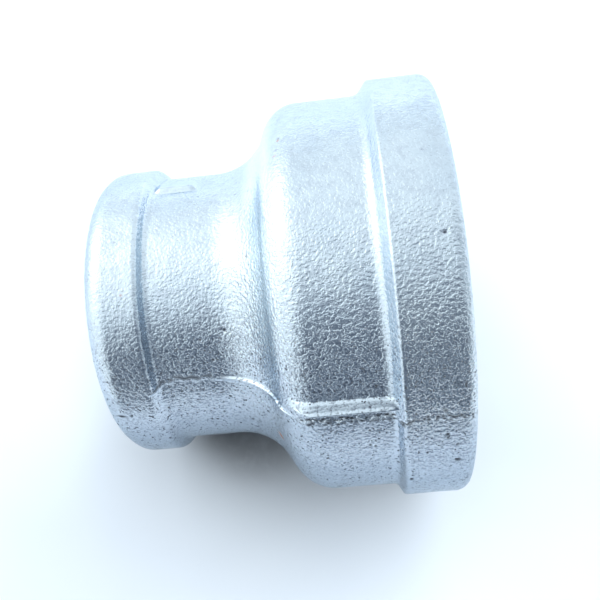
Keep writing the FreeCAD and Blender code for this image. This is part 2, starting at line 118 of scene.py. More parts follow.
def outline(half):
    b = BAND[half]
    rl, rs, body, neck = RL - SINK, RS - 0.05, b["body"], 33.5
    xn = -HL + b["ne"]
    w = math.radians(b["w"])
    ra, rb = b["ra"], b["rb"]
    p1 = (xn + ra * math.sin(w), neck + ra * (1 - math.cos(w)))
    yb = body - rb * (1 - math.cos(w))
    p2 = (p1[0] + (yb - p1[1]) / math.tan(w), yb)
    x3 = p2[0] + rb * math.sin(w)
    fa, fb = b["foot"]
    xl, xs = HL - 14.6, -HL + 12.6
    # the step down from the small band: a round edge, a leaning wall, a round root
    es, gs = b["small"]
    k = math.radians(b["lean"])
    xe = xs - b["start"]
    q1 = (xe + es * math.sin(k), rs - es * (1 - math.cos(k)))
    r2 = neck + gs * (1 - math.cos(k))
    q2 = (q1[0] + (q1[1] - r2) / math.tan(k), r2)
    xg = q2[0] + gs * math.sin(k)
    # the step up to the large band: a wide foot, a leaning wall, a small round edge
    fl = math.radians(b["foot_lean"])
    el = math.atan(math.tan(fl) * fb / fa)
    e = b["crest"]
    xc = xl + 1.0
    s2 = (xc - e * math.sin(el), rl - e * (1 - math.cos(el)))
    r1 = body + fb * (1 - math.cos(fl))
    s1 = (s2[0] - (s2[1] - r1) / math.tan(el), r1)
    xf = s1[0] - fa * math.sin(fl)
    cs, cl = 5.5, 3.0
    ccs, ccl = (-HL + cs - 0.6, rs - cs), (HL - cl + 0.6, rl - cl)
    a_s = math.degrees(math.acos((-HL - ccs[0]) / cs))
    a_l = math.degrees(math.acos((HL - ccl[0]) / cl))
    return [
        arc(*ccs, cs, cs, a_s, 90),
        ("line", ccs[0], rs, xe, rs),
        arc(xe, rs - es, es, es, 90, 90 - b["lean"]),
        ("line", *q1, *q2),
        arc(xg, neck + gs, gs, gs, 270 - b["lean"], 270),
        ("line", xg, neck, xn, neck),
        arc(xn, neck + ra, ra, ra, 270, 270 + b["w"]),
        ("line", *p1, *p2),
        arc(x3, body - rb, rb, rb, 90 + b["w"], 90),
        ("line", x3, body, xf, body),
        arc(xf, body + fb, fa, fb, 270, 270 + b["foot_lean"]),
        ("line", *s1, *s2),
        arc(xc, rl - e, e, e, 90 + math.degrees(el), 90),
        ("line", xc, rl, ccl[0], rl),
        arc(*ccl, cl, cl, 90, a_l),
    ]


def seg_length(s):
    if s[0] == "line":
        return math.hypot(s[3] - s[1], s[4] - s[2])
    return 0.5 * (s[3] + s[4]) * abs(s[6] - s[5])


def seg_points(s, n):
    t = np.arange(n) / n
    if s[0] == "line":
        return np.stack([s[1] + (s[3] - s[1]) * t, s[2] + (s[4] - s[2]) * t], 1)
    a = s[5] + (s[6] - s[5]) * t
    return np.stack([s[1] + s[3] * np.cos(a), s[2] + s[4] * np.sin(a)], 1)


def two_outlines(step):
    up, lo = outline("upper"), outline("lower")
    pu, pl = [], []
    for a, b in zip(up, lo):
        length = max(seg_length(a), seg_length(b))
        fine = 0.6 if a[0] == "arc" and min(a[3], a[4]) < 3.5 else 1.0
        n = max(2, int(math.ceil(length / (step * fine))))
        pu.append(seg_points(a, n))
        pl.append(seg_points(b, n))
    for out, segs in ((pu, up), (pl, lo)):
        s = segs[-1]
        out.append(np.array([[HL, s[2] + s[4] * math.sin(s[6])]]))
    return np.concatenate(pu), np.concatenate(pl)


# ---------------------------------------------------------------- where things are round the part, in degrees

BODY_RIBS = (129.8, 309.8)
NECK_RIBS = (44.0, 224.0)
PART_X = np.array([-40.0, -34.0, -28.5, -26.0, -22.8, -17.2, -11.7, -7.2, -2.6, 0.8, 4.9, 11.0, 15.0, 24.9, 28.0, 32.5, 40.0])
PART_PHI = np.array([133.6, 133.9, 134.0, 131.4, 130.5, 130.6, 131.4, 132.0, 132.6, 133.1, 134.6, 134.2, 134.4, 134.4, 133.4, 132.8, 133.4])


def columns(fine, coarse):
    """Angles round the part, closer together at the ribs and at the mould's parting."""
    probe = np.linspace(0.0, 360.0, 14401)[:-1]
    step = np.full(len(probe), coarse)
    for centre, half, s in (
        (131.2, 4.6, fine), (311.2, 4.6, fine),
        (44.0, 5.2, fine * 1.6), (224.0, 5.2, fine * 1.6),
    ):
        gap = np.abs((probe - centre + 180.0) % 360.0 - 180.0)
        near = smooth(half + 4.0, half, gap)
        step = np.minimum(step, coarse * (1 - near) + s * near)
    share = np.concatenate([[0.0], np.cumsum(0.025 / step)])
    n = int(round(share[-1] / 4.0)) * 4
    edges = np.interp(np.arange(n) * share[-1] / n, share, np.linspace(0.0, 360.0, 14401))
    return np.radians(edges)


def rib_cross(d, half, soft):
    """1 on the crest, 0 beside the rib; d is the distance across it in millimetres."""
    return smooth(half + soft, half - soft * 0.8, np.abs(d))


STEP = 0.25
up, lo = two_outlines(STEP)
phi = columns(0.125, 0.28)
M, N = len(up), len(phi)
xm = 0.5 * (up[:, 0] + lo[:, 0])
rm = 0.5 * (up[:, 1] + lo[:, 1])

PHI = phi[None, :]
deg = np.degrees(phi)[None, :]
part = np.interp(xm, PART_X, PART_PHI)[:, None]
wobble = 0.22 * np.sin(xm * 1.9)[:, None] + 0.18 * np.sin(xm * 0.83 + 1.0)[:, None]
wobble = wobble * (1.0 - 0.92 * smooth(-16.5, -13.5, xm) * smooth(7.0, 4.5, xm))[:, None]
near_side = ((deg - part + 180.0) % 360.0 - 180.0) * math.pi / 180.0 * rm[:, None] + wobble
far_side = ((deg - part) % 360.0 - 180.0) * math.pi / 180.0 * rm[:, None] + wobble * 0.7
soft = 0.45
lower = smooth(-soft, soft, near_side) * smooth(soft, -soft, far_side)
lower = np.where(np.abs(near_side) < np.abs(far_side), smooth(-soft, soft, near_side), smooth(soft, -soft, far_side))
X = up[:, 0][:, None] * (1 - lower) + lo[:, 0][:, None] * lower
R = up[:, 1][:, None] * (1 - lower) + lo[:, 1][:, None] * lower

# grip ribs: a steep upper edge, a tilted face, a second edge and a hidden drop
RIB_T = np.linspace(-2.4, 2.4, 481)
RIB_C = np.interp(
    RIB_T,
    [-1.70, -1.52, -1.30, -0.88, -0.76, 0.38, 0.50, 0.92, 1.10, 1.34, 1.62, 1.88],
    [0.00, 0.02, 0.06, 0.30, 0.35, 0.765, 0.82, 1.07, 1.09, 0.89, 0.22, 0.00],
)
RIB_C = np.convolve(RIB_C, np.hanning(23) / np.hanning(23).sum(), "same")
rib_h = np.zeros_like(R)
calm = np.zeros_like(R)
for centre in BODY_RIBS:
    across = ((deg - centre + 180.0) % 360.0 - 180.0) * math.pi / 180.0 * 49.0
    x0 = 1.3
    high = np.minimum(np.maximum(49.95 - R, 0.0), 1.75 * np.clip((X - x0) / 3.8, 0.0, 1.0) ** 0.62)
    high *= smooth(27.2, 26.0, X)
    narrow = 0.14 + 0.86 * np.clip((X - x0) / 6.0, 0.0, 1.0) ** 0.6
    side = 1.0 if centre < 180.0 else -1.0
    cross = np.interp((across * side + 1.4) / narrow - 1.55, RIB_T, RIB_C) * narrow
    rib_h = np.maximum(rib_h, high * cross)
    calm = np.maximum(calm, 0.80 * smooth(0.02, 0.25, high * cross))
for centre in NECK_RIBS:
    across = ((deg - centre + 180.0) % 360.0 - 180.0) * math.pi / 180.0 * 34.0
    high = np.maximum(34.45 - R, 0.0) * smooth(-27.0, -24.4, X) * smooth(-15.6, -17.4, X)
    rib_h = np.maximum(rib_h, high * rib_cross(across, 1.9, 0.85))
    calm = np.maximum(calm, 0.85 * smooth(3.4, 2.6, np.abs(across)) * smooth(0.05, 0.4, high))
R = R + rib_h

base = np.stack([X, R * np.cos(PHI), R * np.sin(PHI)], -1)


def grid_normals(g):
    du = np.empty_like(g)
    du[1:-1] = g[2:] - g[:-2]
    du[0], du[-1] = g[1] - g[0], g[-1] - g[-2]
    dv = np.roll(g, -1, 1) - np.roll(g, 1, 1)
    n = np.cross(dv, du)
    n /= np.linalg.norm(n, axis=-1)[..., None]
    return n


base_n = grid_normals(base)
if base_n[M // 2, 0, 1] < 0:
    base_n = -base_n

flat = base.reshape(-1, 3)
shape = R.shape


def field(size, seed, count=2, gain=0.5):
    return octaves(flat, size, seed, count, gain).reshape(shape)


# the cast skin under the zinc
rough = 1.0 - 0.10 * lower
swell = 0.080 * field(17.0, 11, 2) + 0.030 * field(6.0, 21, 2)
peel = 1.62 * np.tanh(0.85 * field(0.90, 31, 2, 0.6))
patch = 0.85 + 0.3 * field(9.0, 41, 1)
calm = np.maximum(calm, 0.42 * smooth(-25.0, -28.0, X))
calm = np.maximum(calm, 0.15 * smooth(-6.0, -10.0, X))
calm = np.maximum(calm, 0.08 * smooth(24.5, 26.0, X))
line = np.minimum(np.abs(near_side), np.abs(far_side))
calm = np.maximum(calm, 0.92 * smooth(1.3, 0.8, line) * smooth(-15.0, -12.0, X) * smooth(5.5, 3.5, X))
calm = np.maximum(calm, 0.36 * smooth(88.0, 64.0, np.abs((deg - 10.0 + 180.0) % 360.0 - 180.0)))
calm = np.maximum(calm, 0.55 * smooth(22.2, 23.4, X) * smooth(27.0, 26.3, X))
lift = 1.0 + 0.28 * smooth(25.6, 27.2, X) * smooth(75.0, 100.0, deg) * smooth(150.0, 138.0, deg)
height = swell + 0.041 * peel * rough * patch * lift * (1.0 - calm)

# a thin fin of metal where the two mould halves met
line = np.minimum(np.abs(near_side), np.abs(far_side))
at_neck = smooth(4.0, 1.0, X)
fin = np.exp(-((line / (0.36 + 0.08 * at_neck)) ** 2)) * (
    (1 - at_neck) * (0.05 + 0.12 * np.clip(field(1.5, 51, 2) + 0.05, 0, None))
    + at_neck * (0.12 * smooth(-28.5, -27.0, X) + 0.36 * smooth(-15.5, -10.5, X))
)
height = height + fin * smooth(-39.5, -37.0, X) * smooth(39.6, 38.0, X)

# pits, lumps and runs in the zinc, each listed or placed by a seeded draw
rng = np.random.RandomState(7)
spots = []            # x, phi in degrees, half length along x, half length round, height
for x_, p_, a_, b_, h_ in (
    (-10.1, 111.9, 0.55, 0.45, -0.30),
    (36.1, 92.2, 0.50, 0.45, -0.30),
    (26.7, 156.3, 0.45, 0.7, -0.22),
    (34.0, 138.2, 0.5, 0.4, -0.20),
    (36.1, 147.7, 0.7, 0.5, -0.22),
    (-4.6, 140.1, 0.42, 0.42, 0.28),
    (-3.8, 139.0, 0.35, 0.35, 0.22),
    (-13.5, 123.2, 0.5, 0.4, -0.2),
    (-15.6, 114.9, 0.35, 0.35, -0.16),
):
    spots.append((x_, p_, a_, b_, h_))
for _ in range(300):
    x_ = rng.uniform(-39, 39)
    p_ = rng.uniform(133, 311)
    s_ = rng.uniform(0.14, 0.32)
    spots.append((x_, p_, s_ * rng.uniform(0.8, 1.2), s_ * 1.5, -rng.uniform(0.06, 0.15)))
for _ in range(110):
    x_ = rng.uniform(-39, 39)
    p_ = rng.uniform(-48, 132)
    s_ = rng.uniform(0.14, 0.30)
    spots.append((x_, p_, s_ * rng.uniform(0.8, 1.4), s_, -rng.uniform(0.03, 0.09)))
for _ in range(60):
    x_ = rng.uniform(-39, 39)
    p_ = rng.uniform(0, 360)
    s_ = rng.uniform(0.25, 0.55)
    spots.append((x_, p_, s_ * rng.uniform(0.8, 1.8), s_, rng.uniform(0.05, 0.14)))

pit = np.zeros(shape)
dirt = np.zeros(shape)
rust = np.zeros(shape)


def stamp(target, x_, p_, a_, b_, value, power=1.0):
    rows = np.where(np.abs(xm - x_) < a_ * 3.0 + 2.5)[0]
    if not len(rows):
        return
    gap = (np.degrees(phi) - p_ + 180.0) % 360.0 - 180.0
    r_ = float(np.interp(x_, xm, rm))
    cols = np.where(np.abs(gap) * math.pi / 180.0 * r_ < b_ * 3.0)[0]
    sub = np.ix_(rows, cols)
    dx = (X[sub] - x_) / a_
    dr = gap[cols][None, :] * math.pi / 180.0 * r_ / b_
    g = np.exp(-((dx * dx + dr * dr) ** power))
    if value < 0:
        target[sub] = np.minimum(target[sub], value * g)
    else:
        target[sub] = np.maximum(target[sub], value * g)


bump_up = np.zeros(shape)
for x_, p_, a_, b_, h_ in spots:
    if h_ < 0:
        stamp(pit, x_, p_, a_, b_, h_, 1.3)
        stamp(dirt, x_, p_, a_ * 0.85, b_ * 0.85, min(1.0, -h_ * 8.0), 2.4)
    else:
        stamp(bump_up, x_, p_, a_, b_, h_)
height = height + pit + bump_up
# soot caught along the parting on the large half
soot = np.exp(-(((line - 0.35) / 0.32) ** 2)) * smooth(0.00, 0.22, field(0.75, 81, 2)) * smooth(2.0, 6.0, X)
dirt = np.maximum(dirt, 1.0 * soot)
above = np.where(np.abs(near_side) < np.abs(far_side), near_side, -far_side)
groove = np.exp(-(((above + 0.50) / 0.36) ** 2)) * at_neck * smooth(-29.0, -26.5, X)
dirt = np.maximum(dirt, 0.85 * groove * smooth(-0.45, 0.10, field(1.3, 83, 2)) * smooth(-10.0, -13.0, X))
for x_, p_, a_, b_, v_ in (
    (-36.4, 142.2, 0.95, 0.34, 1.0),
    (5.7, 57.6, 0.35, 0.5, 0.55), (5.2, 62.0, 0.5, 0.3, 0.5), (33.6, 131.0, 0.5, 0.5, 0.7),
):
    stamp(dirt, x_, p_, a_, b_, v_, 1.6)
for x_, p_, a_, b_, v_ in (
    (-0.9, 151.4, 0.55, 0.85, 1.0), (5.6, 58.4, 0.3, 0.35, 0.7), (4.8, 64.0, 0.5, 0.3, 0.5),
    (-31.0, 96.0, 0.3, 0.25, 0.5), (21.0, 246.0, 0.8, 0.5, 0.8), (-22.0, 287.0, 0.6, 0.5, 0.7),
):
    stamp(rust, x_, p_, a_, b_, v_, 1.4)

# keep both faced ends true and everything inside the size of the part
to_end = HL - np.abs(X)
height = height * smooth(0.0, 1.6, to_end) + (1 - smooth(0.0, 1.6, to_end)) * 0.05 * (1 + field(1.4, 61, 1))
P = base + base_n * height[..., None]
P[0, :, 0], P[-1, :, 0] = -HL, HL
P[..., 0] = np.clip(P[..., 0], -HL, HL)
rr = np.hypot(P[..., 1], P[..., 2])
limit = RL - 0.005
over = np.where(rr > limit, limit / rr, 1.0)
P[..., 1] *= over
P[..., 2] *= over


# ---------------------------------------------------------------- meshes from grids


def new_object(name, verts, faces, smooth_shade=True):
    me = bpy.data.meshes.new(name)
    me.vertices.add(len(verts))
    me.vertices.foreach_set("co", (np.asarray(verts) * 0.001).astype(np.float32).ravel())
    faces = np.asarray(faces, np.int32)
    me.loops.add(faces.size)
    me.loops.foreach_set("vertex_index", faces.ravel())
    me.polygons.add(len(faces))
    me.polygons.foreach_set("loop_start", np.arange(0, faces.size, 4, dtype=np.int32))
    me.polygons.foreach_set("loop_total", np.full(len(faces), 4, np.int32))
    me.update(calc_edges=True)
    me.validate()
    me.polygons.foreach_set("use_smooth", np.full(len(me.polygons), smooth_shade, bool))
    ob = bpy.data.objects.new(name, me)
    scene.collection.objects.link(ob)
    return ob


def add_float(me, name, values):
    a = me.attributes.new(name, "FLOAT", "POINT")
    a.data.foreach_set("value", np.asarray(values, np.float32).ravel())


def closed_tube(name, shown, hidden, quarter_rows, outward):
    """A closed shell from two grids with the same columns: shown is the skin that is seen, hidden the one against the casting.
    The map has the shown skin in four cells and the hidden one in a strip."""
    m, n = shown.shape[:2]
    k = hidden.shape[0]
    verts = np.concatenate([shown.reshape(-1, 3), hidden.reshape(-1, 3)])
    i, j = np.meshgrid(np.arange(m - 1), np.arange(n), indexing="ij")
    j2 = (j + 1) % n
    a, b, c, d = i * n + j, i * n + j2, (i + 1) * n + j2, (i + 1) * n + j
    front = np.stack([a, b, c, d], -1).reshape(-1, 4)
    i, j = np.meshgrid(np.arange(k - 1), np.arange(n), indexing="ij")
    j2 = (j + 1) % n
    o = m * n
    back = np.stack([o + i * n + j, o + (i + 1) * n + j, o + (i + 1) * n + j2, o + i * n + j2], -1).reshape(-1, 4)
    j = np.arange(n)
    j2 = (j + 1) % n
    ring0 = np.stack([o + j, o + j2, j2, j], -1)
    e, f = (m - 1) * n, o + (k - 1) * n
    ring1 = np.stack([e + j, e + j2, f + j2, f + j], -1)
    faces = np.concatenate([front, back, ring0, ring1])
    if not outward:
        faces = faces[:, ::-1]
    # map
    arc_len = np.concatenate([[0.0], np.cumsum(np.linalg.norm(np.diff(shown[:, 0], axis=0), axis=1))])
    q = n // 4
    cell_w, cell_h, pad = 0.5, 0.46, 0.004
    uv = np.zeros((len(faces), 4, 2))

    def place(rows, cols, face_cols):
        quad = face_cols // q
        cu, cv = quad % 2, quad // 2
        fu = (cols - quad * q) / q
        u = cu * cell_w + pad + fu * (cell_w - 2 * pad)
        v = cv * cell_h + pad + rows * (cell_h - 2 * pad)
        return u, v

    ring_room = 0.012
    row_v = ring_room + (1 - 2 * ring_room) * arc_len / arc_len[-1]
    i, j = np.meshgrid(np.arange(m - 1), np.arange(n), indexing="ij")
    i, j = i.ravel(), j.ravel()
    nf = len(i)
    for corner, (di, dj) in enumerate(((0, 0), (0, 1), (1, 1), (1, 0))):
        u, v = place(row_v[i + di], j + dj, j)
        uv[:nf, corner, 0], uv[:nf, corner, 1] = u, v
    i, j = np.meshgrid(np.arange(k - 1), np.arange(n), indexing="ij")
    i, j = i.ravel(), j.ravel()
    nb = len(i)
    for corner, (di, dj) in enumerate(((0, 0), (1, 0), (1, 1), (0, 1))):
        uv[nf:nf + nb, corner, 0] = 0.004 + 0.992 * (j + dj) / n
        uv[nf:nf + nb, corner, 1] = 0.93 + 0.06 * (i + di) / (k - 1)
    j = np.arange(n)
    for corner, (side, dj) in enumerate(((0, 0), (0, 1), (1, 1), (1, 0))):
        u, v = place(np.full(n, 0.0 if side == 0 else ring_room), j + dj, j)
        uv[nf + nb:nf + nb + n, corner, 0], uv[nf + nb:nf + nb + n, corner, 1] = u, v
        u, v = place(np.full(n, 1 - ring_room if side == 0 else 1.0), j + dj, j)
        uv[nf + nb + n:, corner, 0], uv[nf + nb + n:, corner, 1] = u, v
    if not outward:
        uv = uv[:, ::-1]
    ob = new_object(name, verts, faces)
    layer = ob.data.uv_layers.new(name="OFBake")
    layer.data.foreach_set("uv", uv.astype(np.float32).ravel())
    return ob


# on the side that lay in the dirt the soot and specks are denser, and the cavities there are darkened with painted
# shade
turn = np.abs((deg - 222.0 + 180.0) % 360.0 - 180.0)
grime_and_shade = smooth(124.0, 92.0, turn + 5.0 * field(9.0, 95, 2))

# painted highlight: the hollow under the shoulder is painted near white
painted_sheen = smooth(-0.50, -0.78, base_n[..., 0]) * smooth(-9.0, -6.0, X) * smooth(10.0, 6.0, X) * (1.0 - grime_and_shade)

# painted highlight on a strip of the large band
painted_sheen = np.maximum(painted_sheen, 0.5 * smooth(25.6, 27.2, X) * smooth(98.0, 112.0, deg) * smooth(142.0, 130.0, deg))

# painted shade: mask of the side facing down, which is darkened in the zinc colour
underside_shade = smooth(84.0, 62.0, turn + 3.0 * field(8.0, 97, 1))

# outer skin: the shown grid, and a hidden one against the casting
picks = np.unique(np.concatenate([[0, 1, 3, 6], np.arange(8, M - 6, 7), [M - 7, M - 4, M - 2, M - 1]]))
inset = 0.34 * smooth(0.0, 1.5, HL - np.abs(X[picks])) + 0.17
hidden = base[picks] - base_n[picks] * inset[..., None]
hidden[0, :, 0], hidden[-1, :, 0] = -HL + 0.004, HL - 0.004
skin = closed_tube("zinc_skin", P, hidden, 4, True)
fill = np.zeros(len(picks) * N)
add_float(skin.data, "lower_half", np.concatenate([lower.ravel(), fill]))
add_float(skin.data, "dirt", np.concatenate([np.clip(dirt, 0, 1).ravel(), fill]))
add_float(skin.data, "grime_and_shade", np.concatenate([grime_and_shade.ravel(), fill]))
add_float(skin.data, "underside_shade", np.concatenate([underside_shade.ravel(), fill]))
add_float(skin.data, "calm", np.concatenate([calm.ravel(), fill]))
add_float(skin.data, "painted_sheen", np.concatenate([painted_sheen.ravel(), fill]))
add_float(skin.data, "rust", np.concatenate([np.clip(rust, 0, 1).ravel(), fill]))

# ---------------------------------------------------------------- zinc on the cast part of the passage


def waterway_outline(step, off):
    xs1, xl1 = -16.0, 11.0
    xi, ri, rj, w = -11.5, 17.5, 4.5, math.radians(65.0)
    c0, c1 = 30.1, 44.3
    q1 = (xi + ri * math.sin(w), c0 + ri * (1 - math.cos(w)))
    yj = c1 - rj * (1 - math.cos(w))
    q2 = (q1[0] + (yj - q1[1]) / math.tan(w), yj)
    xj = q2[0] + rj * math.sin(w)
    segs = [
        ("line", xs1 + 1.6, c0 - off, xi, c0 - off),
        arc(xi, c0 + ri, ri + off, ri + off, 270, 270 + 65.0),
        ("line", q1[0] + off * math.sin(w), q1[1] - off * math.cos(w), q2[0] + off * math.sin(w), q2[1] - off * math.cos(w)),
        arc(xj, c1 - rj, rj - off, rj - off, 90 + 65.0, 90),
        ("line", xj, c1 - off, xl1 - 0.8, c1 - off),
    ]
    pts = [seg_points(s, max(2, int(math.ceil(seg_length(s) / step)))) for s in segs]
    pts.append(np.array([[xl1 - 0.8, c1 - off]]))
    return np.concatenate(pts)


def waterway():
    inner = waterway_outline(0.36, 0.12)
    n = 720
    a = np.arange(n) * TAU / n
    g = np.stack([
        np.repeat(inner[:, 0][:, None], n, 1),
        inner[:, 1][:, None] * np.cos(a)[None, :],
        inner[:, 1][:, None] * np.sin(a)[None, :],
    ], -1)
    nn = grid_normals(g)
    if (nn[2, 0, 1]) > 0:
        nn = -nn
    f = g.reshape(-1, 3)
    h = 0.10 + 0.08 * octaves(f, 8.0, 71, 2) + 0.07 * octaves(f, 1.5, 73, 2)
    h = np.clip(h.reshape(g.shape[:2]), -0.03, 0.5)
    ends = np.minimum(g[..., 0] - g[0, 0, 0], g[-1, 0, 0] - g[..., 0])
    g2 = g + nn * (h * smooth(0.0, 0.8, ends))[..., None]
    outer = waterway_outline(0.36, 0.02)
    take = np.unique(np.concatenate([np.arange(0, len(outer), 6), [len(outer) - 1]]))
    outer = outer[take]
    back = np.stack([
        np.repeat(outer[:, 0][:, None], n, 1),
        outer[:, 1][:, None] * np.cos(a)[None, :],
        outer[:, 1][:, None] * np.sin(a)[None, :],
    ], -1)
    ob = closed_tube("zinc_waterway_skin", g2, back, 4, False)
    for nm in ("lower_half", "dirt", "rust", "grime_and_shade", "underside_shade", "calm", "painted_sheen"):
        add_float(ob.data, nm, np.zeros(len(ob.data.vertices)))
    return ob


water = waterway()

# ---------------------------------------------------------------- the casting: its real threads and faces, drawn in under the zinc


def casting_copy():
    node = frame["nodes"]["iron_casting"]
    me = node.data.copy()
    me.name = "casting_mesh"
    bm = bmesh.new()
    bm.from_mesh(me)
    bmesh.ops.remove_doubles(bm, verts=bm.verts, dist=2e-6)
    bm.normal_update()
    bm.verts.ensure_lookup_table()
    co = np.array([v.co for v in bm.verts]) * 1000.0
    no = np.array([v.normal for v in bm.verts])
    r = np.hypot(co[:, 1], co[:, 2])
    low_out = np.minimum(np.interp(co[:, 0], up[:, 0], up[:, 1]), np.interp(co[:, 0], lo[:, 0], lo[:, 1]))
    # where the outline steps straight up, the lower side of the step counts
    out = r > np.where(np.abs(co[:, 0]) > 39.0, low_out - 1.2, np.minimum(low_out, 50.0) - 3.0)
    out &= ~((co[:, 0] > 11.0) & (r < 45.2)) & ~((co[:, 0] < -13.0) & (r < 31.0))
    depth = 0.62 * smooth(0.02, 1.6, 40.0 - np.abs(co[:, 0])) * out
    moved = co - no * depth[:, None]
    reach = np.hypot(moved[:, 1], moved[:, 2])
    # the ribs of the casting are sunk as well: the skin carries them
    under = low_out - 0.55
    round_ = np.degrees(np.arctan2(co[:, 2], co[:, 1]))
    at_rib = np.zeros(len(co), bool)
    for centre in BODY_RIBS:
        at_rib |= np.abs((round_ - centre + 180.0) % 360.0 - 180.0) < 6.0
    under = np.where(at_rib & (co[:, 0] > 8.0), np.minimum(under, 47.6), under)
    behind = np.where(at_rib, 26.3, 25.3)
    pull = np.where(out & (depth > 0.3) & (reach > under) & (co[:, 0] < behind), under / reach, 1.0)
    moved[:, 1] *= pull
    moved[:, 2] *= pull
    moved *= 0.001
    for v, p in zip(bm.verts, moved):
        v.co = p
    bm.normal_update()
    inside = {v.index for v, o_ in zip(bm.verts, out) if not o_}
    # map: threads and passage round and along, the two faces flat, the covered outside in a strip
    layer = bm.loops.layers.uv.new("OFBake")
    for f in bm.faces:
        cs = [l.vert.co for l in f.loops]
        xs_ = [c.x * 1000.0 for c in cs]
        cx = sum(xs_) / len(xs_)
        if abs(f.normal.x) > 0.99 and abs(abs(cx) - 40.0) < 0.02:
            for l, c in zip(f.loops, cs):
                s = 1.0 / 106.0 if cx > 0 else 1.0 / 106.0
                ou, ov = (0.27, 0.76) if cx > 0 else (0.72, 0.76)
                l[layer].uv = (ou + c.y * 1000.0 * s * 0.42, ov + c.z * 1000.0 * s * 0.42)
            continue
        angles = [math.atan2(c.z, c.y) / TAU + 0.5 for c in cs]
        if max(angles) - min(angles) > 0.5:
            angles = [a + 1.0 if a < 0.5 else a for a in angles]
        covered = not any(l.vert.index in inside for l in f.loops)
        for l, c, a in zip(f.loops, cs, angles):
            x_ = c.x * 1000.0
            if covered:
                rad = math.hypot(c.y, c.z) * 1000.0
                l[layer].uv = (0.004 + a * 0.95, 0.004 + (x_ + rad * 0.35 + 40.0 - 11.0) / 88.0 * 0.03)
            else:
                l[layer].uv = (0.004 + a * 0.95, 0.05 + (x_ + 40.0) / 80.0 * 0.47)
    bm.to_mesh(me)
    bm.free()
    ob = bpy.data.objects.new("casting", me)
    scene.collection.objects.link(ob)
    for lay in [u for u in me.uv_layers if u.name != "OFBake"]:
        me.uv_layers.remove(lay)
    me.materials.clear()
    me.polygons.foreach_set("use_smooth", np.ones(len(me.polygons), bool))
    me.set_sharp_from_angle(angle=math.radians(32.0))
    return ob


casting = casting_copy()

# ---------------------------------------------------------------- materials


class Tree:
    def __init__(self, name):
        self.mat = bpy.data.materials.new(name)
        self.mat.use_nodes = True
        self.nt = self.mat.node_tree
        self.nt.nodes.clear()
        self.out = self.add("ShaderNodeOutputMaterial")
        self.bsdf = self.add("ShaderNodeBsdfPrincipled")
        self.link(self.bsdf.outputs[0], self.out.inputs["Surface"])
        coords = self.add("ShaderNodeTexCoord")
        scale = self.add("ShaderNodeVectorMath", operation="SCALE")
        scale.inputs["Scale"].default_value = 1000.0
        self.link(coords.outputs["Object"], scale.inputs[0])
        self.mm = scale.outputs[0]

    def add(self, kind, **settings):
        n = self.nt.nodes.new(kind)
        for k, v in settings.items():
            setattr(n, k, v)
        return n

    def link(self, a, b):
        self.nt.links.new(a, b)

    def put(self, socket, value):
        if isinstance(value, bpy.types.NodeSocket):
            self.link(value, socket)
        else:
            socket.default_value = value

    def noise(self, size, detail=2.0, rough=0.5, vector=None, distortion=0.0):
        n = self.add("ShaderNodeTexNoise", noise_dimensions="3D")
        self.link(vector or self.mm, n.inputs["Vector"])
        n.inputs["Scale"].default_value = 1.0 / size
        n.inputs["Detail"].default_value = detail
        n.inputs["Roughness"].default_value = rough
        n.inputs["Distortion"].default_value = distortion
        return n.outputs["Fac"]

    def math(self, op, a, b=0.0, clamp=False):
        n = self.add("ShaderNodeMath", operation=op, use_clamp=clamp)
        self.put(n.inputs[0], a)
        self.put(n.inputs[1], b)
        return n.outputs[0]

    def ramp(self, value, a, b, lo_=0.0, hi_=1.0, kind="SMOOTHSTEP"):
        n = self.add("ShaderNodeMapRange", interpolation_type=kind)
        self.put(n.inputs["Value"], value)
        self.put(n.inputs["From Min"], a)
        self.put(n.inputs["From Max"], b)
        self.put(n.inputs["To Min"], lo_)
        self.put(n.inputs["To Max"], hi_)
        return n.outputs["Result"]

    def mix(self, fac, a, b):
        n = self.add("ShaderNodeMix", data_type="RGBA")
        self.put(n.inputs[0], fac)
        for s, v in ((n.inputs[6], a), (n.inputs[7], b)):
            if isinstance(v, bpy.types.NodeSocket):
                self.link(v, s)
            else:
                s.default_value = (*v, 1.0)
        return n.outputs[2]

    def attribute(self, name):
        n = self.add("ShaderNodeAttribute", attribute_name=name)
        return n.outputs["Fac"]

    def bump(self, height, distance, strength=1.0, normal=None):
        n = self.add("ShaderNodeBump")
        n.inputs["Distance"].default_value = distance * 0.001
        self.put(n.inputs["Strength"], strength)
        self.link(height, n.inputs["Height"])
        if normal is not None:
            self.link(normal, n.inputs["Normal"])
        return n.outputs[0]


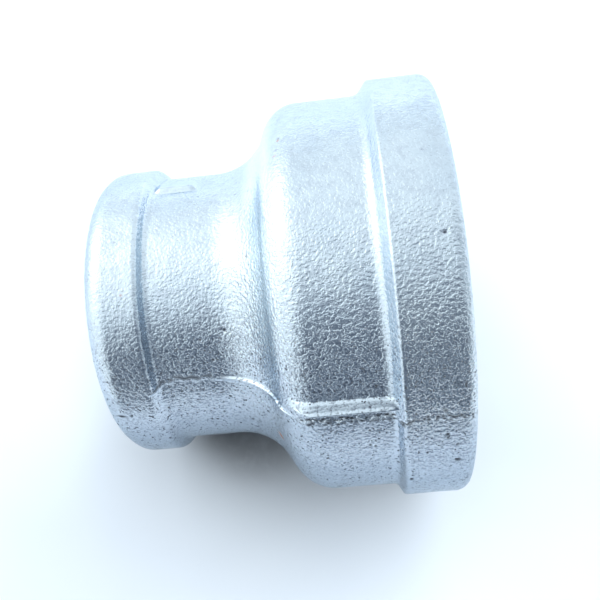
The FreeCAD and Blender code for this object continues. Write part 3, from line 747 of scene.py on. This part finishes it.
def zinc_material(name, fine=1.0):
    t = Tree(name)
    low = t.attribute("lower_half")
    cloud = t.noise(11.0, 3.0, 0.55)
    mottle = t.noise(2.6, 3.0, 0.6)
    grain = t.noise(0.66, 2.0, 0.5)
    speck = t.noise(0.95, 2.0, 0.5)
    # colour: cool bright zinc, greyer where the coat has dulled
    colour = t.mix(t.ramp(cloud, 0.35, 0.68), (0.70, 0.765, 0.835), (0.635, 0.705, 0.785))
    colour = t.mix(t.ramp(mottle, 0.42, 0.72, 0.0, 0.55), colour, (0.56, 0.61, 0.69))
    # mask for real specks and pits, and for the painted shade in the cavities
    grime_and_shade_mask = t.attribute("grime_and_shade")
    # painted shade on the side facing down; the lower mould half is also made a little darker
    colour = t.mix(t.math("ADD", t.math("MULTIPLY", low, 0.26), t.math("MULTIPLY", t.attribute("underside_shade"), 0.62), clamp=True), colour, (0.36, 0.415, 0.49))
    # painted shade: the low spots of the grain are darkened, mostly on the underside, as shade falling in the cavities
    painted_pit_shade = t.math("MULTIPLY", t.ramp(grain, 0.46, 0.36), t.ramp(grime_and_shade_mask, 0.0, 1.0, 0.05, 0.50))
    colour = t.mix(painted_pit_shade, colour, (0.17, 0.19, 0.235))
    # painted highlight: the masked places are pushed towards near white
    colour = t.mix(t.math("MULTIPLY", t.attribute("painted_sheen"), 0.9), colour, (0.93, 0.98, 1.0))
    # fine flecks where the coat is dull
    fleck = t.noise(0.40, 1.0, 0.5)
    dull = t.math("MULTIPLY", t.ramp(grime_and_shade_mask, 0.0, 1.0, 0.0, 0.50), t.ramp(low, 0.0, 1.0, 1.0, 0.18))
    dull = t.math("MULTIPLY", dull, t.math("SUBTRACT", 1.0, t.attribute("calm"), clamp=True))
    colour = t.mix(t.math("MULTIPLY", t.ramp(fleck, 0.47, 0.36), dull), colour, (0.25, 0.275, 0.33))
    colour = t.mix(t.math("MULTIPLY", t.ramp(fleck, 0.53, 0.64), dull), colour, (0.92, 0.96, 1.0))
    # small dark pits and soot
    tiny = t.noise(0.62, 1.0, 0.5)
    dots = t.add("ShaderNodeTexVoronoi", feature="F1", voronoi_dimensions="3D")
    t.link(t.mm, dots.inputs["Vector"])
    dots.inputs["Scale"].default_value = 1.0 / 1.3
    split = t.add("ShaderNodeSeparateColor")
    t.link(dots.outputs["Color"], split.inputs[0])
    dot = t.math("MULTIPLY", t.ramp(dots.outputs["Distance"], 0.155, 0.115), t.ramp(split.outputs[0], 0.25, 0.35))
    dot = t.math("MULTIPLY", dot, t.ramp(grime_and_shade_mask, 0.2, 1.0, 0.0, 1.0))
    dark = t.math("MULTIPLY", t.math("MAXIMUM", t.ramp(speck, 0.66, 0.71), t.ramp(tiny, 0.69, 0.73)), t.ramp(grime_and_shade_mask, 0.0, 1.0, 0.15, 0.9))
    soil = t.math("MAXIMUM", t.math("MAXIMUM", dark, dot), t.attribute("dirt"))
    soil = t.math("MULTIPLY", soil, t.ramp(grain, 0.25, 0.5, 0.8, 1.0), clamp=True)
    colour = t.mix(soil, colour, (0.034, 0.038, 0.052))
    red = t.attribute("rust")
    colour = t.mix(red, colour, (0.50, 0.17, 0.045))
    t.link(colour, t.bsdf.inputs["Base Color"])
    rough = t.ramp(t.noise(1.6, 3.0, 0.6), 0.3, 0.7, 0.12, 0.20)
    rough = t.math("ADD", rough, t.ramp(low, 0.0, 1.0, 0.0, 0.06))
    rough = t.math("ADD", rough, t.math("MULTIPLY", t.math("MAXIMUM", soil, red), 0.4), clamp=True)
    t.link(rough, t.bsdf.inputs["Roughness"])
    metal = t.math("SUBTRACT", 1.0, t.math("MULTIPLY", t.math("MAXIMUM", soil, red), 0.85), clamp=True)
    t.link(metal, t.bsdf.inputs["Metallic"])
    t.bsdf.inputs["Specular Tint"].default_value = (0.80, 0.86, 0.90, 1.0)
    lively = t.math("SUBTRACT", 1.0, t.attribute("calm"), clamp=True)
    n1 = t.bump(t.ramp(grain, 0.39, 0.61), 0.070 * fine, lively)
    n2 = t.bump(t.noise(0.26, 2.0, 0.5), 0.038 * fine, lively, n1)
    t.link(n2, t.bsdf.inputs["Normal"])
    return t.mat


def iron_material(name):
    t = Tree(name)
    split = t.add("ShaderNodeSeparateXYZ")
    t.link(t.mm, split.inputs[0])
    x_, y_, z_ = split.outputs
    r = t.math("SQRT", t.math("ADD", t.math("MULTIPLY", y_, y_), t.math("MULTIPLY", z_, z_)))
    ring = t.add("ShaderNodeCombineXYZ")
    t.link(r, ring.inputs[0])
    t.link(x_, ring.inputs[1])
    t.link(t.math("MULTIPLY", t.math("ARCTAN2", z_, y_), 1.1), ring.inputs[2])
    cut = t.noise(0.16, 2.0, 0.6, ring.outputs[0])
    feed = t.noise(0.75, 1.0, 0.5, ring.outputs[0])
    cloud = t.noise(7.0, 3.0, 0.55)
    stain = t.noise(2.2, 4.0, 0.65)
    colour = t.mix(t.ramp(cloud, 0.3, 0.7), (0.43, 0.435, 0.445), (0.335, 0.335, 0.34))
    colour = t.mix(t.ramp(stain, 0.56, 0.74, 0.0, 0.7), colour, (0.17, 0.145, 0.115))
    colour = t.mix(t.ramp(cut, 0.55, 0.75, 0.0, 0.35), colour, (0.20, 0.20, 0.21))
    t.link(colour, t.bsdf.inputs["Base Color"])
    t.link(t.ramp(stain, 0.35, 0.75, 0.27, 0.5), t.bsdf.inputs["Roughness"])
    t.link(t.ramp(stain, 0.56, 0.78, 1.0, 0.45), t.bsdf.inputs["Metallic"])
    n1 = t.bump(cut, 0.014)
    n2 = t.bump(feed, 0.02, 1.0, n1)
    n3 = t.bump(t.noise(0.5, 3.0, 0.6), 0.010, 1.0, n2)
    t.link(n3, t.bsdf.inputs["Normal"])
    return t.mat


zinc = zinc_material("zinc_coat")
iron = iron_material("machined_iron")
for ob, mat in ((skin, zinc), (water, zinc), (casting, iron)):
    ob.data.materials.append(mat)
for node, mat in (("zinc_coat_outer", zinc), ("zinc_coat_waterway", zinc), ("iron_casting", iron)):
    for s in frame["nodes"][node].material_slots:
        s.material = mat

for ob, node, slot in (
    (skin, "zinc_coat_outer", "zinc"),
    (water, "zinc_coat_waterway", "zinc"),
    (casting, "iron_casting", "cast_iron"),
):
    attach(ob, "root")
    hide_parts(node)

# ---------------------------------------------------------------- floor: a pale sheet that the two bands lie on


def floor():
    xs_ = np.concatenate([np.linspace(-1500, -220, 17)[:-1], np.linspace(-220, 220, 111), np.linspace(220, 1500, 17)[1:]])
    ys_ = xs_.copy()
    slope = 0.2541 * np.exp(-((np.abs(xs_) / 105.0) ** 4))
    z = np.concatenate([[0.0], np.cumsum(0.5 * (slope[1:] + slope[:-1]) * np.diff(xs_))])
    z = z - np.interp(26.4, xs_, z)
    z = -RL - 0.10 - z
    gx, gy = np.meshgrid(xs_, ys_, indexing="ij")
    gz = np.repeat(z[:, None], len(ys_), 1)
    pts = np.stack([gx, gy, np.zeros_like(gx)], -1).reshape(-1, 3)
    away = smooth(45.0, 120.0, np.hypot(gx, gy * 0.9))
    gz = gz + away * 1.1 * octaves(pts, 70.0, 91, 2, 0.45).reshape(gx.shape)
    # the sheet gives a little where the shoulder and the large band press into it
    press = np.max([np.interp(xs_ + d, lo[:, 0], lo[:, 1]) for d in (-3.0, -1.5, 0.0, 1.5, 3.0)], axis=0) + 0.40
    press = np.where(np.abs(xs_) < 43.0, press, 0.0)[:, None]
    dent = -np.sqrt(np.clip(press ** 2 - gy ** 2, 0.0, None))
    gz = np.where(np.abs(gy) < 0.8 * press, np.minimum(gz, dent), gz)
    verts = np.stack([gx, gy, gz], -1).reshape(-1, 3)
    n0, n1 = gx.shape
    i, j = np.meshgrid(np.arange(n0 - 1), np.arange(n1 - 1), indexing="ij")
    faces = np.stack([i * n1 + j, (i + 1) * n1 + j, (i + 1) * n1 + j + 1, i * n1 + j + 1], -1).reshape(-1, 4)
    ob = new_object("floor", verts, faces)
    t = Tree("pale_sheet")
    sheet = t.mix(t.ramp(t.noise(60.0, 2.0, 0.5), 0.3, 0.7), (0.90, 0.905, 0.91), (0.86, 0.87, 0.885))
    # painted shadow: the sheet is darkened in a soft patch under the neck, where the contact shadow falls
    near = t.add("ShaderNodeVectorMath", operation="SUBTRACT")
    t.link(t.mm, near.inputs[0])
    near.inputs[1].default_value = (-15.0, -30.0, -41.0)
    flat_ = t.add("ShaderNodeVectorMath", operation="MULTIPLY")
    t.link(near.outputs[0], flat_.inputs[0])
    flat_.inputs[1].default_value = (1.0 / 24.0, 1.0 / 22.0, 0.0)
    away = t.add("ShaderNodeVectorMath", operation="LENGTH")
    t.link(flat_.outputs[0], away.inputs[0])
    painted_contact_shadow = t.math("MULTIPLY", t.ramp(away.outputs["Value"], 1.0, 0.25), t.ramp(t.noise(4.0, 3.0, 0.6), 0.2, 0.6, 0.38, 0.55))
    sheet = t.mix(painted_contact_shadow, sheet, (0.20, 0.19, 0.19))
    t.link(sheet, t.bsdf.inputs["Base Color"])
    t.bsdf.inputs["Roughness"].default_value = 0.9
    t.bsdf.inputs["Specular IOR Level"].default_value = 0.1
    # the sheet melts into the backdrop a long way off
    far_ = t.add("ShaderNodeVectorMath", operation="LENGTH")
    t.link(t.mm, far_.inputs[0])
    clear = t.add("ShaderNodeBsdfTransparent")
    melt = t.add("ShaderNodeMixShader")
    t.link(t.ramp(far_.outputs["Value"], 520.0, 1250.0), melt.inputs[0])
    t.link(t.bsdf.outputs[0], melt.inputs[1])
    t.link(clear.outputs[0], melt.inputs[2])
    for n in t.mat.node_tree.nodes:
        if n.type == "OUTPUT_MATERIAL":
            t.link(melt.outputs[0], n.inputs["Surface"])
    ob.data.materials.append(t.mat)
    return ob


floor_ob = floor()

# ---------------------------------------------------------------- light


def world():
    w = bpy.data.worlds.new("studio")
    scene.world = w
    w.use_nodes = True
    nt = w.node_tree
    nt.nodes.clear()
    out = nt.nodes.new("ShaderNodeOutputWorld")
    coord = nt.nodes.new("ShaderNodeTexCoord")

    def lobe(direction, near, far):
        d = Vector(direction).normalized()
        dot = nt.nodes.new("ShaderNodeVectorMath")
        dot.operation = "DOT_PRODUCT"
        nt.links.new(coord.outputs["Generated"], dot.inputs[0])
        dot.inputs[1].default_value = d
        m = nt.nodes.new("ShaderNodeMapRange")
        m.interpolation_type = "SMOOTHSTEP"
        nt.links.new(dot.outputs["Value"], m.inputs["Value"])
        m.inputs["From Min"].default_value = math.cos(math.radians(far))
        m.inputs["From Max"].default_value = math.cos(math.radians(near))
        return m.outputs["Result"]

    def mixed(fac, a, b):
        m = nt.nodes.new("ShaderNodeMix")
        m.data_type = "RGBA"
        nt.links.new(fac, m.inputs[0])
        for s, v in ((m.inputs[6], a), (m.inputs[7], b)):
            if isinstance(v, tuple):
                s.default_value = (*v, 1.0)
            else:
                nt.links.new(v, s)
        return m.outputs[2]

    def toward(az, el):
        az, el = math.radians(az), math.radians(el)
        return math.cos(el) * math.cos(az), math.cos(el) * math.sin(az), math.sin(el)

    sky = mixed(lobe(toward(152.0, 28.0), 0.0, 56.0), (0.96, 1.09, 1.15), (1.42, 1.56, 1.60))
    sky = mixed(lobe(toward(147.0, 27.0), 6.0, 27.0), sky, (2.40, 2.52, 2.52))
    sky = mixed(lobe(toward(-30.0, 42.0), 0.0, 60.0), sky, (0.56, 0.65, 0.72))
    sky = mixed(lobe(toward(-83.0, 32.0), 20.0, 58.5), sky, (0.160, 0.200, 0.255))
    bg = nt.nodes.new("ShaderNodeBackground")
    nt.links.new(sky, bg.inputs["Color"])
    bg.inputs["Strength"].default_value = 1.0
    soft_sky = nt.nodes.new("ShaderNodeBackground")
    nt.links.new(sky, soft_sky.inputs["Color"])
    soft_sky.inputs["Strength"].default_value = 0.06
    seen = nt.nodes.new("ShaderNodeBackground")
    seen.inputs["Color"].default_value = (0.90, 0.97, 0.99, 1.0)
    path = nt.nodes.new("ShaderNodeLightPath")
    pick = nt.nodes.new("ShaderNodeMixShader")
    scattered = nt.nodes.new("ShaderNodeMixShader")
    bounced = nt.nodes.new("ShaderNodeMath")
    bounced.operation = "GREATER_THAN"
    nt.links.new(path.outputs["Diffuse Depth"], bounced.inputs[0])
    bounced.inputs[1].default_value = 0.5
    nt.links.new(bounced.outputs[0], scattered.inputs[0])
    nt.links.new(bg.outputs[0], scattered.inputs[1])
    nt.links.new(soft_sky.outputs[0], scattered.inputs[2])
    nt.links.new(path.outputs["Is Camera Ray"], pick.inputs[0])
    nt.links.new(scattered.outputs[0], pick.inputs[1])
    nt.links.new(seen.outputs[0], pick.inputs[2])
    nt.links.new(pick.outputs[0], out.inputs["Surface"])


world()


def softbox(name, place, size, power, colour):
    data = bpy.data.lights.new(name, "AREA")
    data.shape = "RECTANGLE"
    data.size, data.size_y = size
    data.energy = power
    data.color = colour
    ob = bpy.data.objects.new(name, data)
    ob.location = Vector(place)
    ob.rotation_euler = (-Vector(place)).to_track_quat("-Z", "Y").to_euler()
    scene.collection.objects.link(ob)
    return ob


def from_sky(az, el, far):
    az, el = math.radians(az), math.radians(el)
    return far * math.cos(el) * math.cos(az), far * math.cos(el) * math.sin(az), far * math.sin(el)


for name, place, size_, power in (
    ("side_box", from_sky(48.0, 16.0, 1.9), (4.0, 1.1), 64.0),
    ("top_box", from_sky(100.0, 66.0, 2.1), (2.35, 2.1), 64.0),
):
    lamp = softbox(name, place, size_, power, (0.86, 0.98, 1.10))
    lamp.visible_glossy = False

# ---------------------------------------------------------------- camera

cam_data = bpy.data.cameras.new("camera")
cam = bpy.data.objects.new("camera", cam_data)
scene.collection.objects.link(cam)
right = Vector((0.991982, -0.08176378, -0.09636597))
upv = Vector((0.09971069, 0.97485796, 0.199273))
back = Vector((0.07764982, -0.20728394, 0.97519427))
m = Matrix.Identity(4)
for k, axis in enumerate((right, upv, back)):
    for i in range(3):
        m[i][k] = axis[i]
m.translation = Vector((0.018225, -0.038267, 0.175099))
cam.matrix_world = m
cam_data.sensor_width = 36.0
cam_data.lens = 41.349
cam_data.clip_start = 0.01
cam_data.clip_end = 10.0
scene.camera = cam

scene.view_settings.view_transform = "Standard"
scene.view_settings.look = "None"
scene.view_settings.exposure = 0.0
scene.view_settings.gamma = 1.0
